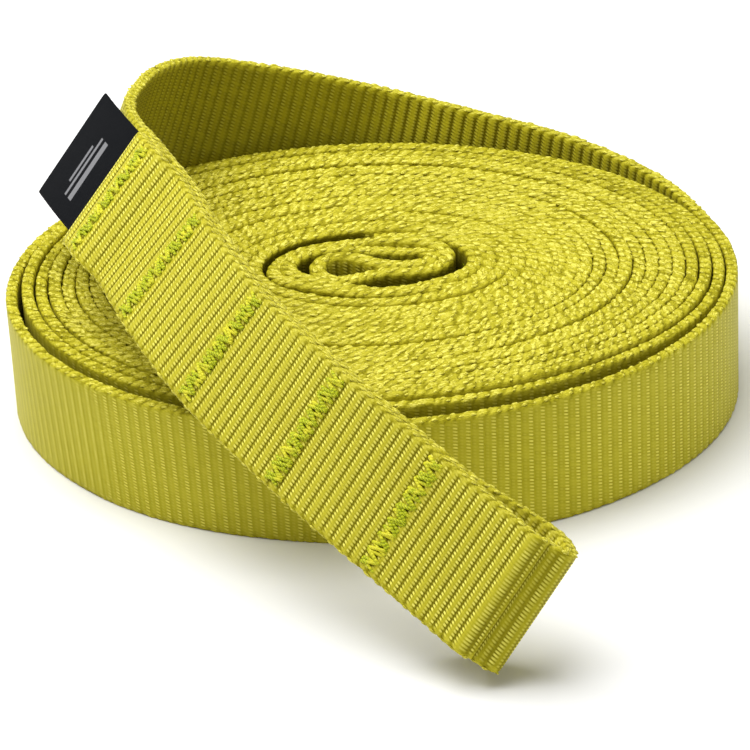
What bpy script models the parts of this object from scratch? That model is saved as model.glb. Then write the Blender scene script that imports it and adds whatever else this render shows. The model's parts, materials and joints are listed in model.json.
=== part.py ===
"""Flat web sling: one long strip of 25 mm webbing with an eye sewn into each end, wound edge-up into a coil.

The webbing starts at the eye in the middle of the coil, winds outwards turn by turn, leaves the coil at the
back right, climbs behind it, bends over at the back left and lies diagonally across the coil with its outer
eye on the ground in front. Everything is in metres, +Z up. The coil stands on z = 0.
"""
import math

import bpy
import numpy as np
from mathutils import Matrix, Vector

MM = 0.001

# ---- driving dimensions -------------------------------------------------------------------------------
WEB_WIDTH = 25.0 * MM
WEB_THICK = 2.2 * MM
GAP = 0.3 * MM                      # clearance kept between touching pieces

# the coil: flattened turns that grow from the core to the rim, one layer of webbing at a time
CORE_CENTRE = (1.0 * MM, -4.0 * MM)
COIL_CENTRE = (0.0 * MM, -7.5 * MM)
CORE_HALF = (13.0 * MM, 5.8 * MM)
RIM_HALF = (68.6 * MM, 62.4 * MM)
COIL_TURNS = 19.053                 # the last turn ends at the back right
DOUBLED_TURNS = 1.25                # the inner end stays doubled this far round the core
END_CLEARANCE = 0.005               # turns left free between the doubled end and the single webbing
STEPS_PER_TURN = 36
SETTLE_LAYERS = 0.75                # past the doubled end the turns sink into the room it leaves
SETTLE_FADE = 0.5                   # and less so with each turn
SETTLE_TURN = 0.3                   # they reach their lowest this far round each turn
STITCHED_LAYERS = 1.50              # room that a second, stitched layer takes, in layers
SLACK = 2.0 * MM                    # how far the last turn stands off at the front right
SLACK_SPAN = (0.62, 0.14)           # turns before the end where that slack starts and ends

# the sewn ends
ROW_PITCH = 25.0 * MM
ROW_COUNT = 5
ROW_WIDTH = 3.0 * MM
ROW_LENGTH = 23.6 * MM
THREAD_THICK = 0.25 * MM
THREAD_GAP = 0.12 * MM
LAYER_STEP = WEB_THICK + GAP        # from one layer's middle to the next
HEM_BEYOND_ROW = 8.6 * MM           # the turned-in end reaches this far past the first row
HEM_TAIL = 11.0 * MM                # length of the end that is turned under
EYE_LENGTH = 23.0 * MM              # from the last row to where the eye's end starts to turn
CREST_RADIUS = 3.0 * MM             # the webbing bends over the eye's crest with this radius
END_FACE = 3.4 * MM                 # length of the flat end of the eye, from the crest to the tip
END_ANGLE = math.radians(36.0)      # how steeply that end falls away
TIP_RADIUS = 2.2 * MM               # of the fold at the tip
TIP_TURN = math.radians(120.0)      # the webbing has turned this far where the fold ends and the belly starts
HEM_STEP = 2.7 * MM                 # from the turned-under end's middle to the layer above it
HEM_FALL = 9.0 * MM                 # past the tail, the upper layer comes down over this length
BEND_BEFORE_HEM = 30.0 * MM         # the free end swings about a line this far behind the hem
NECK = 3.2 * MM                     # the layers part this far beyond the last row
INNER_EYE_LENGTH = 9.5 * MM
INNER_EYE_RADIUS = 4.0 * MM
INNER_ROW_START = 2.0 * MM
INNER_JOIN = 0.25                   # the turn at which the inner end meets the winding

# sections along the webbing
STEP = 2.6 * MM                     # along the free webbing
INNER_STEP = 1.3 * MM               # where it bends tightly in the core
ROUTE_STEP = 1.0 * MM               # along the free route itself
INNER_ROUTE_STEP = 0.5 * MM
SPAN_PARTS = 24                     # of the cubic between two stations
EYE_PARTS = 7                       # of each side of an eye
CREST_PARTS = 4                     # of the fold over the outer eye's crest
TIP_PARTS = 6                       # of the fold at its tip
BELLY_PARTS = 12                    # of the slack side under it
FOLD_PARTS = 6                      # of the turned-under hem
LEAD_IN = 0.02                      # turns of the coil that set the free route's first direction
RUN_ON = 10                         # route steps past the last station, for the eye to hang from
SHARP_ANGLE = math.radians(50.0)    # edges sharper than this are shaded as corners

# the label
LABEL_LENGTH = 23.0 * MM            # along the webbing's width
LABEL_REACH = 27.0 * MM
LABEL_THICK = 0.8 * MM
LABEL_LIFT = math.radians(4.0)
LABEL_GAP = 0.5 * MM
LABEL_HEIGHT = 1.9 * MM             # over the lower layer's middle

# colours
YELLOW = (0.56, 0.50, 0.06)
LIME = (0.45, 0.52, 0.03)
BLACK = (0.012, 0.012, 0.012)

# The free webbing's middle, by hand, in millimetres: where it runs and how its upper edge leans.
# From where it leaves the coil, along the back, up and round the bend, and down across the coil.
FREE_ROUTE = [
    ((57.6, 28.6, 13.2), (0.05, 0.00)),
    ((40.5, 45.2, 15.4), (0.13, 0.02)),
    ((17.8, 54.2, 19.1), (0.18, 0.04)),
    ((-5.3, 58.0, 24.2), (0.23, 0.09)),
    ((-21.5, 56.0, 28.9), (0.27, 0.11)),
    ((-35.6, 49.4, 34.0), (0.30, 0.10)),
    ((-43.6, 36.6, 38.1), (0.34, 0.07)),
    ((-47.5, 23.0, 40.4), (0.36, 0.05)),
    ((-49.1, 10.6, 42.3), (0.39, 0.07)),
    ((-48.2, -3.0, 44.4), (0.50, 0.12)),
    ((-45.2, -15.6, 45.8), (0.61, 0.16)),
    ((-39.9, -32.6, 46.2), (0.63, 0.17)),
    ((-33.2, -52.5, 43.9), (0.60, 0.16)),
    ((-23.4, -71.0, 38.6), (0.58, 0.16)),
    ((-13.4, -84.3, 33.8), (0.55, 0.15)),
    ((-4.0, -95.2, 29.1), (0.54, 0.15)),
    ((6.6, -105.7, 23.6), (0.55, 0.16)),
    ((16.1, -115.7, 18.7), (0.57, 0.18)),
    ((20.7, -121.0, 16.2), (0.58, 0.20)),
]

# The inner end's middle between its neck and the winding, in millimetres from the core's centre.
INNER_BEND = [(3.0, -2.0), (7.0, -2.1), (10.8, -0.8), (12.4, 2.5), (10.8, 5.7), (6.6, 7.3)]


# ---- scene ---------------------------------------------------------------------------------------------
for old in list(bpy.data.objects):
    bpy.data.objects.remove(old, do_unlink=True)

sling = bpy.data.collections.new("flat_web_sling")
bpy.context.scene.collection.children.link(sling)


def material(name, colour, roughness):
    """A plain dielectric material."""
    made = bpy.data.materials.new(name)
    made.use_nodes = True
    shader = made.node_tree.nodes["Principled BSDF"]
    shader.inputs["Base Color"].default_value = (*colour, 1.0)
    shader.inputs["Roughness"].default_value = roughness
    shader.inputs["Metallic"].default_value = 0.0
    made.diffuse_color = (*colour, 1.0)
    return made


WEBBING = material("yellow_webbing", YELLOW, 0.6)
THREAD = material("lime_thread", LIME, 0.5)
LABEL = material("black_ribbon", BLACK, 0.7)


# ---- curves --------------------------------------------------------------------------------------------
def smoothstep(value):
    value = min(max(value, 0.0), 1.0)
    return value * value * (3.0 - 2.0 * value)


def arc_lengths(points):
    """Distance along a polyline at each of its points."""
    steps = np.linalg.norm(np.diff(points, axis=0), axis=1)
    return np.concatenate([[0.0], np.cumsum(steps)])


def smooth_curve(points, step):
    """A cubic through the points, spaced evenly along its length."""
    points = np.array(points, dtype=float)
    knots = arc_lengths(points[:, :3])
    slopes = np.gradient(points, knots, axis=0)
    fine = []
    for index in range(len(points) - 1):
        span = knots[index + 1] - knots[index]
        for part in np.linspace(0.0, 1.0, SPAN_PARTS, endpoint=False):
            keep = 2 * part ** 3 - 3 * part ** 2 + 1
            leave = part ** 3 - 2 * part ** 2 + part
            arrive = part ** 3 - part ** 2
            fine.append(keep * points[index] + (1 - keep) * points[index + 1]
                        + span * (leave * slopes[index] + arrive * slopes[index + 1]))
    fine.append(points[-1])
    return resample(np.array(fine), step)


def resample(points, step):
    """The same polyline with evenly spaced points."""
    along = arc_lengths(points[:, :3])
    count = max(2, int(round(along[-1] / step)) + 1)
    wanted = np.linspace(0.0, along[-1], count)
    return np.stack([np.interp(wanted, along, points[:, axis]) for axis in range(points.shape[1])], axis=1)


def stretch(points, start, end, step):
    """The part of a polyline between two distances along it, evenly spaced."""
    along = arc_lengths(points[:, :3])
    count = max(2, int(math.ceil((end - start) / step)) + 1)
    wanted = np.linspace(start, end, count)
    return np.stack([np.interp(wanted, along, points[:, axis]) for axis in range(points.shape[1])], axis=1)


class Strip:
    """A route for webbing: middle points, the direction of its upper edge, and the face normal at each."""

    def __init__(self, points, edges):
        self.points = np.array(points, dtype=float)
        tangents = np.gradient(self.points, axis=0)
        tangents /= np.linalg.norm(tangents, axis=1)[:, None]
        edges = np.array(edges, dtype=float)
        edges -= tangents * np.sum(edges * tangents, axis=1)[:, None]
        self.edges = edges / np.linalg.norm(edges, axis=1)[:, None]
        self.normals = np.cross(tangents, self.edges)
        self.along = arc_lengths(self.points)

    def at(self, distance):
        """Middle point, edge direction and normal at a distance along the strip."""
        point, edge, normal = [np.array([np.interp(distance, self.along, rows[:, axis]) for axis in range(3)])
                               for rows in (self.points, self.edges, self.normals)]
        return point, edge / np.linalg.norm(edge), normal / np.linalg.norm(normal)

    def raised(self, distance, height):
        """The middle point moved off the strip along its normal."""
        point, edge, normal = self.at(distance)
        return point + normal * height, edge


def ribbon(name, sections, width, thick, surface):
    """Webbing as a flat strip through the sections, given thickness by Solidify."""
    mesh = bpy.data.meshes.new(name)
    verts = []
    for middle, edge in sections:
        edge = np.array(edge) / np.linalg.norm(edge)
        verts.append(tuple(middle - edge * width / 2))
        verts.append(tuple(middle + edge * width / 2))
    faces = [(2 * i, 2 * i + 1, 2 * i + 3, 2 * i + 2) for i in range(len(sections) - 1)]
    mesh.from_pydata(verts, [], faces)
    mesh.update()
    made = bpy.data.objects.new(name, mesh)
    made.data.materials.append(surface)
    sling.objects.link(made)
    solid = made.modifiers.new("thickness", "SOLIDIFY")
    solid.thickness = thick
    solid.offset = 0.0
    solid.use_even_offset = True
    mesh.shade_smooth()
    mesh.set_sharp_from_angle(angle=SHARP_ANGLE)
    return made


# ---- the coil ------------------------------------------------------------------------------------------
def layers_below(turn):
    """How many layers of webbing lie under the strip at this point of the winding."""
    layers = turn + 1.0 + STITCHED_LAYERS * min(max(turn, 0.0), DOUBLED_TURNS)
    if turn > DOUBLED_TURNS:
        past = turn - DOUBLED_TURNS
        around = past % 1.0
        falling = 1.0 - smoothstep((around - SETTLE_TURN) / (1.0 - SETTLE_TURN))
        settle = smoothstep(around / SETTLE_TURN) * falling
        layers -= SETTLE_LAYERS * math.exp(-SETTLE_FADE * past) * settle
    return layers


def coil_point(turn, inward=0.0):
    """A point of the winding, seen from above; inward counts layers towards the core."""
    share = (layers_below(turn) - inward) / layers_below(COIL_TURNS)
    angle = 2.0 * math.pi * turn
    half_x = CORE_HALF[0] + (RIM_HALF[0] - CORE_HALF[0]) * share
    half_y = CORE_HALF[1] + (RIM_HALF[1] - CORE_HALF[1]) * share
    left = COIL_TURNS - turn
    if SLACK_SPAN[1] < left < SLACK_SPAN[0]:
        bump = math.sin(math.pi * (left - SLACK_SPAN[1]) / (SLACK_SPAN[0] - SLACK_SPAN[1])) ** 2
        half_x += SLACK * bump
        half_y += SLACK * bump
    middle_x = CORE_CENTRE[0] + (COIL_CENTRE[0] - CORE_CENTRE[0]) * share
    middle_y = CORE_CENTRE[1] + (COIL_CENTRE[1] - CORE_CENTRE[1]) * share
    return (middle_x + half_x * math.cos(angle), middle_y + half_y * math.sin(angle), WEB_WIDTH / 2)


def coil_strip(first, last):
    """The winding between two turns."""
    count = int(round((last - first) * STEPS_PER_TURN))
    turns = [first + (last - first) * i / count for i in range(count + 1)]
    points = [coil_point(turn) for turn in turns]
    return Strip(points, [(0.0, 0.0, 1.0)] * len(points))


def inner_route():
    """The middle of the doubled inner end, from the eye's neck, round its first bend and on round the core."""
    core = np.array([*CORE_CENTRE, WEB_WIDTH / 2])
    points = [core + np.array([x * MM, y * MM, 0.0]) for x, y in INNER_BEND]
    steps = int(STEPS_PER_TURN * (DOUBLED_TURNS - INNER_JOIN))
    for index in range(steps + 1):
        turn = INNER_JOIN + (DOUBLED_TURNS - INNER_JOIN) * index / steps
        points.append(np.array(coil_point(turn, inward=0.5)))
    return smooth_curve(points, INNER_ROUTE_STEP)


# ---- the sewn ends -------------------------------------------------------------------------------------
def round_eye(length, radius):
    """The inner eye's outline, reach and height, from its near layer round the end to its far layer."""
    start = LAYER_STEP / 2
    outline = []
    for index in range(EYE_PARTS):
        share = index / EYE_PARTS
        outline.append((length * share, start + (radius - start) * smoothstep(share)))
    for index in range(EYE_PARTS + 2):
        angle = math.pi / 2 - math.pi * index / (EYE_PARTS + 1)
        outline.append((length + radius * math.cos(angle), radius * math.sin(angle)))
    for index in reversed(range(EYE_PARTS)):
        share = index / EYE_PARTS
        outline.append((length * share, -start + (start - radius) * smoothstep(share)))
    return outline


def folded_eye(length):
    """The outer eye's outline: flat above, bent down at the crest, folded at the tip, slack below."""
    start = LAYER_STEP / 2
    outline = [(length * index / EYE_PARTS, start) for index in range(EYE_PARTS)]
    for index in range(CREST_PARTS + 1):
        angle = END_ANGLE * index / CREST_PARTS
        outline.append((length + CREST_RADIUS * math.sin(angle), start - CREST_RADIUS * (1.0 - math.cos(angle))))
    reach = outline[-1][0] + END_FACE * math.cos(END_ANGLE) - TIP_RADIUS * math.sin(END_ANGLE)
    height = outline[-1][1] - END_FACE * math.sin(END_ANGLE) - TIP_RADIUS * math.cos(END_ANGLE)
    for index in range(TIP_PARTS + 1):
        angle = END_ANGLE + (TIP_TURN - END_ANGLE) * index / TIP_PARTS
        outline.append((reach + TIP_RADIUS * math.sin(angle), height + TIP_RADIUS * math.cos(angle)))
    reach, height = outline[-1]
    sag = -math.tan(TIP_TURN) * reach
    for index in reversed(range(BELLY_PARTS)):
        share = index / BELLY_PARTS
        outline.append((reach * share, -start + (height + start) * smoothstep(share)
                        + sag * share * share * (share - 1.0)))
    return outline


def eye_sections(neck, outward, normal, edge, outline):
    """The sections of an eye beyond its neck."""
    return [(neck + outward * reach + normal * height, edge) for reach, height in outline]


def thread_row(name, strip, centre, height):
    """One row of zigzag stitching as a thin slab on a face of the webbing."""
    half = ROW_WIDTH / 2
    sections = [strip.raised(centre + half * side, height) for side in (-1.0, -0.5, 0.0, 0.5, 1.0)]
    return ribbon(name, sections, ROW_LENGTH, THREAD_THICK, THREAD)


def along_strip(strip, first, last, height, step):
    """Sections between two distances along a strip, at a constant height over it."""
    count = max(2, int(math.ceil(abs(last - first) / step)) + 1)
    return [strip.raised(distance, height) for distance in np.linspace(first, last, count)]


# ---- the webbing wound round the core ------------------------------------------------------------------
coil = coil_strip(DOUBLED_TURNS + END_CLEARANCE, COIL_TURNS)
ribbon("coil_webbing", list(zip(coil.points, coil.edges)), WEB_WIDTH, WEB_THICK, WEBBING)

# ---- the inner end: doubled, sewn, with its eye lying in the core --------------------------------------
inner_points = inner_route()
inner = Strip(inner_points, [(0.0, 0.0, 1.0)] * len(inner_points))
inner_end = inner.along[-1]
neck, neck_edge, neck_normal = inner.at(0.0)
neck_outward = -np.cross(neck_edge, neck_normal)
half_step = LAYER_STEP / 2
inner_sections = along_strip(inner, inner_end, 0.5 * INNER_STEP, half_step, INNER_STEP)
inner_sections += eye_sections(neck, neck_outward, neck_normal, neck_edge,
                               round_eye(INNER_EYE_LENGTH, INNER_EYE_RADIUS))
inner_sections += along_strip(inner, 0.5 * INNER_STEP, inner_end, -half_step, INNER_STEP)
ribbon("inner_sewn_end", inner_sections, WEB_WIDTH, WEB_THICK, WEBBING)

face_height = half_step + WEB_THICK / 2 + THREAD_GAP + THREAD_THICK / 2
for row in range(ROW_COUNT):
    centre = INNER_ROW_START + row * ROW_PITCH
    thread_row(f"inner_bar_tack_{row + 1}_needle_thread", inner, centre, face_height)
    thread_row(f"inner_bar_tack_{row + 1}_bobbin_thread", inner, centre, -face_height)

# ---- the free webbing ----------------------------------------------------------------------------------
leaving = [coil_point(COIL_TURNS - LEAD_IN), coil_point(COIL_TURNS)]
control = [(*point, 0.0, 0.0) for point in leaving]
control += [(x * MM, y * MM, z * MM, lean_x, lean_y) for (x, y, z), (lean_x, lean_y) in FREE_ROUTE]
route = smooth_curve(control, ROUTE_STEP)
route = stretch(route, np.linalg.norm(np.subtract(*leaving)), arc_lengths(route[:, :3])[-1], ROUTE_STEP)
run_on = route[-1, :3] - route[-4, :3]
run_on *= ROUTE_STEP / np.linalg.norm(run_on)
for _ in range(RUN_ON):
    route = np.vstack([route, [*(route[-1, :3] + run_on), *route[-1, 3:]]])
leans = [(lean_x, lean_y, math.sqrt(1.0 - lean_x ** 2 - lean_y ** 2)) for lean_x, lean_y in route[:, 3:]]
free = Strip(route[:, :3], leans)

eye_turn = free.along[-1] - RUN_ON * ROUTE_STEP
rows = [eye_turn - EYE_LENGTH - ROW_PITCH * (ROW_COUNT - 1 - row) for row in range(ROW_COUNT)]
neck_at = rows[-1] + NECK
hem_at = rows[0] - HEM_BEYOND_ROW
bend_at = hem_at - BEND_BEFORE_HEM
hem_rise = LAYER_STEP + HEM_STEP

ribbon("back_run_webbing", along_strip(free, GAP, bend_at - GAP / 2, 0.0, STEP), WEB_WIDTH, WEB_THICK,
       WEBBING)
lower = ribbon("sewn_end_lower_layer", along_strip(free, bend_at + GAP / 2, neck_at - GAP, 0.0, STEP),
               WEB_WIDTH, WEB_THICK, WEBBING)

# the end of the strip lies on top: turned under at its hem, then flat against the lower layer
turn_radius = HEM_STEP / 2
turn_centre = hem_at + turn_radius + WEB_THICK / 2
hem = along_strip(free, hem_at + HEM_TAIL, turn_centre, LAYER_STEP, STEP)
for index in range(1, FOLD_PARTS):
    angle = math.pi * index / FOLD_PARTS
    hem.append(free.raised(turn_centre - turn_radius * math.sin(angle),
                           LAYER_STEP + turn_radius * (1.0 - math.cos(angle))))
hem += along_strip(free, turn_centre, hem_at + HEM_TAIL, hem_rise, STEP)
for index in range(1, FOLD_PARTS):
    share = index / FOLD_PARTS
    hem.append(free.raised(hem_at + HEM_TAIL + HEM_FALL * share, hem_rise - HEM_STEP * smoothstep(share)))
hem += along_strip(free, hem_at + HEM_TAIL + HEM_FALL, neck_at - GAP, LAYER_STEP, STEP)
upper = ribbon("sewn_end_upper_layer", hem, WEB_WIDTH, WEB_THICK, WEBBING)

# the bar tacks: needle thread on the upper face, bobbin thread on the lower one
tacks = []
on_face = WEB_THICK / 2 + THREAD_GAP + THREAD_THICK / 2
for row, centre in enumerate(rows):
    top = hem_rise if row == 0 else LAYER_STEP
    tacks.append(thread_row(f"bar_tack_{row + 1}_needle_thread", free, centre, top + on_face))
    tacks.append(thread_row(f"bar_tack_{row + 1}_bobbin_thread", free, centre, -on_face))

# the eye: flat above, bent down from the crest to its tip, and slack below
neck, _ = free.raised(neck_at + GAP / 2, half_step)
_, neck_edge, neck_normal = free.at(neck_at)
eye_outward = np.cross(neck_edge, neck_normal)
eye = ribbon("eye_webbing", eye_sections(neck, eye_outward, neck_normal, neck_edge,
                                         folded_eye(EYE_LENGTH - NECK)), WEB_WIDTH, WEB_THICK, WEBBING)

# ---- the label, caught under the hem -------------------------------------------------------------------
label_root, label_edge = free.raised(hem_at - LABEL_GAP, LABEL_HEIGHT)
_, _, label_normal = free.at(hem_at)
label_back = -np.cross(label_edge, label_normal)
label_way = label_back * math.cos(LABEL_LIFT) + label_normal * math.sin(LABEL_LIFT)
label = ribbon("label", [(label_root, label_edge), (label_root + label_way * LABEL_REACH, label_edge)],
               LABEL_LENGTH, LABEL_THICK, LABEL)


# ---- joints: each moving group hangs from an empty whose Z runs along its axis --------------------------
def pivot(name, point, axis, parent, members):
    """An empty on a joint's axis, with the pieces that turn about it."""
    empty = bpy.data.objects.new(name, None)
    empty.empty_display_size = 10.0 * MM
    sling.objects.link(empty)
    turn = Vector(axis).to_track_quat("Z", "Y").to_matrix().to_4x4()
    world = Matrix.Translation(Vector(point)) @ turn
    empty.matrix_world = world
    bpy.context.view_layer.update()
    if parent is not None:
        empty.parent = parent
        empty.matrix_parent_inverse = parent.matrix_world.inverted()
        empty.matrix_world = world
    bpy.context.view_layer.update()
    for member in members:
        member.parent = empty
        member.matrix_parent_inverse = empty.matrix_world.inverted()
    return empty


ground = bpy.data.objects.new("ground_centre", None)
sling.objects.link(ground)
bend_point, bend_edge = free.raised(bend_at, WEB_THICK / 2)
bend_axis = pivot("free_end_axis", bend_point, bend_edge, ground, [lower, upper, *tacks])
fold_point, fold_edge = free.raised(neck_at, LAYER_STEP + WEB_THICK / 2)
fold_axis = pivot("eye_axis", fold_point, fold_edge, bend_axis, [eye])
flap_point = label_root + label_normal * LABEL_THICK / 2
flap_axis = pivot("label_axis", flap_point, label_edge, bend_axis, [label])
still = [made for made in sling.objects if made.type == "MESH" and made.parent is None]
for made in still:
    made.parent = ground

# the origin is under the middle of the whole sling
bpy.context.view_layer.update()
graph = bpy.context.evaluated_depsgraph_get()
corners = []
for made in sling.objects:
    if made.type == "MESH":
        body = made.evaluated_get(graph)
        corners += [body.matrix_world @ vertex.co for vertex in body.data.vertices]
low = [min(corner[axis] for corner in corners) for axis in range(3)]
high = [max(corner[axis] for corner in corners) for axis in range(3)]
ground.location = (-(low[0] + high[0]) / 2, -(low[1] + high[1]) / 2, -low[2])
bpy.context.view_layer.update()
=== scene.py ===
"""Flat web sling, coiled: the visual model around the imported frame.

The webbing is one strip. It is swept here as pieces that follow the same route as the CAD solids, with its
cross ribs and its beaded selvedges as real relief, and the single yarns as bump in the material.
"""
import json
import math

import bpy
import numpy as np
from mathutils import Matrix, Vector


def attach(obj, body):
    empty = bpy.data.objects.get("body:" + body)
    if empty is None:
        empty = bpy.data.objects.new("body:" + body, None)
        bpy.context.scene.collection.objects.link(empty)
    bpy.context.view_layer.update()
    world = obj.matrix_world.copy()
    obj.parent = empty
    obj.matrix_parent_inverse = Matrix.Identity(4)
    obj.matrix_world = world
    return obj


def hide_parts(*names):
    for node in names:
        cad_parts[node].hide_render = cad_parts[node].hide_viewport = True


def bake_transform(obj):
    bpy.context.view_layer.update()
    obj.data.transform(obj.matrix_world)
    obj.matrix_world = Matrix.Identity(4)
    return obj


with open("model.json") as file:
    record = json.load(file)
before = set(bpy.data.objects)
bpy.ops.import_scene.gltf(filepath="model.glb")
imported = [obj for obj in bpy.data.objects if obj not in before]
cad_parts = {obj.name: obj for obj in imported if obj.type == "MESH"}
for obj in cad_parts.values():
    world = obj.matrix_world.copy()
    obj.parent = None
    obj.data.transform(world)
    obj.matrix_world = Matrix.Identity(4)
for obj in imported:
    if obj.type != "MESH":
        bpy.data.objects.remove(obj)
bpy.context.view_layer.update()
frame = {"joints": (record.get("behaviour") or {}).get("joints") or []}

MM = 0.001

# ---- the route's dimensions, as in the CAD part ---------------------------------------------------------
WEB_WIDTH = 25.0 * MM
WEB_THICK = 2.2 * MM
GAP = 0.3 * MM
CORE_CENTRE = (1.0 * MM, -4.0 * MM)
COIL_CENTRE = (0.0 * MM, -7.5 * MM)
CORE_HALF = (13.0 * MM, 5.8 * MM)
RIM_HALF = (68.6 * MM, 62.4 * MM)
COIL_TURNS = 19.053
DOUBLED_TURNS = 1.25
SETTLE_LAYERS = 0.75
SETTLE_FADE = 0.5
SETTLE_TURN = 0.3
STITCHED_LAYERS = 1.50
SLACK = 2.0 * MM
SLACK_SPAN = (0.62, 0.14)
ROW_PITCH = 25.0 * MM
ROW_COUNT = 5
ROW_LENGTH = 23.6 * MM
LAYER_STEP = WEB_THICK + GAP
HALF_STEP = LAYER_STEP / 2
HEM_BEYOND_ROW = 8.6 * MM
HEM_TAIL = 11.0 * MM
HEM_STEP = 2.7 * MM
HEM_FALL = 9.0 * MM
BEND_BEFORE_HEM = 30.0 * MM
EYE_LENGTH = 23.0 * MM
HEM_NOSE = 3.2 * MM                 # how far the hem's fold is drawn out
CREST_LENGTH = 1.1 * MM             # of the webbing that turns sharply over the crest
CREST_TURN = math.radians(76.0)
END_FACE = 3.6 * MM                 # below it the end is hollow, and nearly flat again at the tip
END_ANGLE = math.radians(5.0)
END_EASE = 1.7
END_CALM = 0.15 * MM                # how much the ribs are pulled flat beyond the crest
TIP_RADIUS = 2.2 * MM
TIP_TURN = math.radians(120.0)
NECK = 3.2 * MM
INNER_EYE_LENGTH = 9.5 * MM
INNER_EYE_RADIUS = 4.0 * MM
INNER_EYE_JOIN = 0.6 * MM
INNER_ROW_START = 2.0 * MM
INNER_JOIN = 0.25
STEPS_PER_TURN = 36
SPAN_PARTS = 24
EYE_STEPS = 40                      # along each layer of an eye
CREST_STEPS = 24                    # over its crest, and down its end
TIP_STEPS = 30
INNER_STEPS = 400
JOIN_STEPS = 12
FLAT_STEPS = 300
FALL_STEPS = 30
HEM_STEPS = 25
LEAD_IN = 0.02
RUN_ON = 10.0 * MM
LABEL_LENGTH = 23.0 * MM
LABEL_REACH = 27.0 * MM
LABEL_LIFT = math.radians(4.0)
LABEL_CURL = math.radians(5.0)
LABEL_GAP = 0.5 * MM
LABEL_HEIGHT = 1.9 * MM
LABEL_THICK = 0.8 * MM
FREE_ROUTE = [
    ((57.6, 28.6, 13.2), (0.05, 0.00)),
    ((40.5, 45.2, 15.4), (0.13, 0.02)),
    ((17.8, 54.2, 19.1), (0.18, 0.04)),
    ((-5.3, 58.0, 24.2), (0.23, 0.09)),
    ((-21.5, 56.0, 28.9), (0.27, 0.11)),
    ((-35.6, 49.4, 34.0), (0.30, 0.10)),
    ((-43.6, 36.6, 38.1), (0.34, 0.07)),
    ((-47.5, 23.0, 40.4), (0.36, 0.05)),
    ((-49.1, 10.6, 42.3), (0.39, 0.07)),
    ((-48.2, -3.0, 44.4), (0.50, 0.12)),
    ((-45.2, -15.6, 45.8), (0.61, 0.16)),
    ((-39.9, -32.6, 46.2), (0.63, 0.17)),
    ((-33.2, -52.5, 43.9), (0.60, 0.16)),
    ((-23.4, -71.0, 38.6), (0.58, 0.16)),
    ((-13.4, -84.3, 33.8), (0.55, 0.15)),
    ((-4.0, -95.2, 29.1), (0.54, 0.15)),
    ((6.6, -105.7, 23.6), (0.55, 0.16)),
    ((16.1, -115.7, 18.7), (0.57, 0.18)),
    ((20.7, -121.0, 16.2), (0.58, 0.20)),
]
INNER_BEND = [(3.0, -2.0), (7.0, -2.1), (10.8, -0.8), (12.4, 2.5), (10.8, 5.7), (6.6, 7.3)]

# ---- what only the visual model has ---------------------------------------------------------------------
FINE = 0.3 * MM                     # spacing of the points of a route

# how the turns of the coil stand; places round the coil are in turns, 0 at the right
PRESS = 2.7 * MM                    # how far the turns under the last one are pushed in where it stands off
PRESS_PLACE, PRESS_HALF, PRESS_FADE = 0.80, 0.18, 0.14
PRESS_FROM, PRESS_GROWTH, PRESS_END = 5.0, 12.5, 0.8
TUCK = math.radians(6.0)            # how far the turns lean out where their foot is tucked in
TUCK_PLACE, TUCK_HALF, TUCK_FADE = 0.65, 0.20, 0.16
TUCK_FROM, TUCK_GROWTH = 5.0, 8.0
LIFT = 0.64                         # mm that an inner turn stands off the floor
LIFT_WAVES = ((0.15, 4.1, 0.6), (0.14, 9.7, 2.1), (0.08, 17.3, 0.0))    # mm, radians a turn, phase
LIFT_END, LIFT_FADE = 0.9, 0.8      # the last turns stand on the floor
PACKED_THICK = 2.42 * MM            # the turns of the coil touch
PACKED_ROUND = 0.9 * MM
CORE_THICK = 3.0 * MM               # the webbing is looser and plumper in the core
CRUSHED_THICK = 3.4 * MM
CORE_WAVE = 0.55 * MM               # and its folds stand unevenly
CORE_WAVE_LENGTH = 8.0 * MM
EDGE_CLEAR = 0.15 * MM              # the selvedge's relief stays off the floor
COIL_CUTS = (3.6, 2.6, 1.75, 1.18, 0.60)    # metres before the coil's end where its pieces meet
FACES_SHOW = 1.2                    # the last metres of the coil, where more than the selvedges shows

# the weave's relief
RIB_PITCH = 2.36 * MM
STEPS_PER_RIB = 8
YARN_PITCH = 0.66 * MM
EDGE_ROUND = 1.5 * MM               # how far in from the selvedge its rounding starts
SQUARENESS = 0.45                   # below 1, the selvedge is squarer than an ellipse
RELIEF_POWER = 0.6                  # how soon the selvedge's relief takes over from the ribs
RIB_MEAN = 0.6                      # relief is measured from these, so that the webbing keeps its thickness
BEAD_MEAN = 0.45
BEAD_POWER = 1.7                    # above 1, the creases between beads are narrow
WRAP_RELIEF = 0.035 * MM            # height of the ribs on the coil's outer turns
INNER_RELIEF = 0.10 * MM            # on the inner end
BAND_RELIEF = 0.24 * MM             # where the webbing is doubled and pulled straight
HEM_RELIEF = 0.26 * MM              # and on the hem
HEM_EASE = 3.0 * MM
FREE_RELIEF = ((0.0, 0.035), (20.0, 0.24), (74.0, 0.26), (88.0, 0.06))    # behind the coil: at mm, mm high
FREE_CALM_END = 5.0 * MM            # the last of these heights holds up to here before the bend
COIL_BEAD = 0.18 * MM               # height of the selvedge's beads on the coil
BACK_BEAD = 0.34 * MM               # behind it, where they are tallest
BACK_BEAD_AT = 60.0 * MM
BAND_BEAD = 0.19 * MM               # and on the doubled webbing
BESIDE_HUMPS = 0.72                 # how much painted highlight the beads keep where humps stand on them; less leaves more painted shade
FUZZ = 0.025 * MM                   # how unevenly the selvedge's yarns stand
HUMP_LENGTH = 0.95 * MM             # half sizes of the humps where the weft turns round
HUMP_WIDTH = 0.62 * MM
HUMP_HEIGHT = 0.30 * MM
HUMP_SUNK = 0.06 * MM
HUMP_PLACE = 0.24                   # of a rib's pitch, to each side of its crest
HUMP_YAW = math.radians(30.0)
HUMP_SPREAD = 0.52 * MM             # from the middle of the thickness
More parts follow.
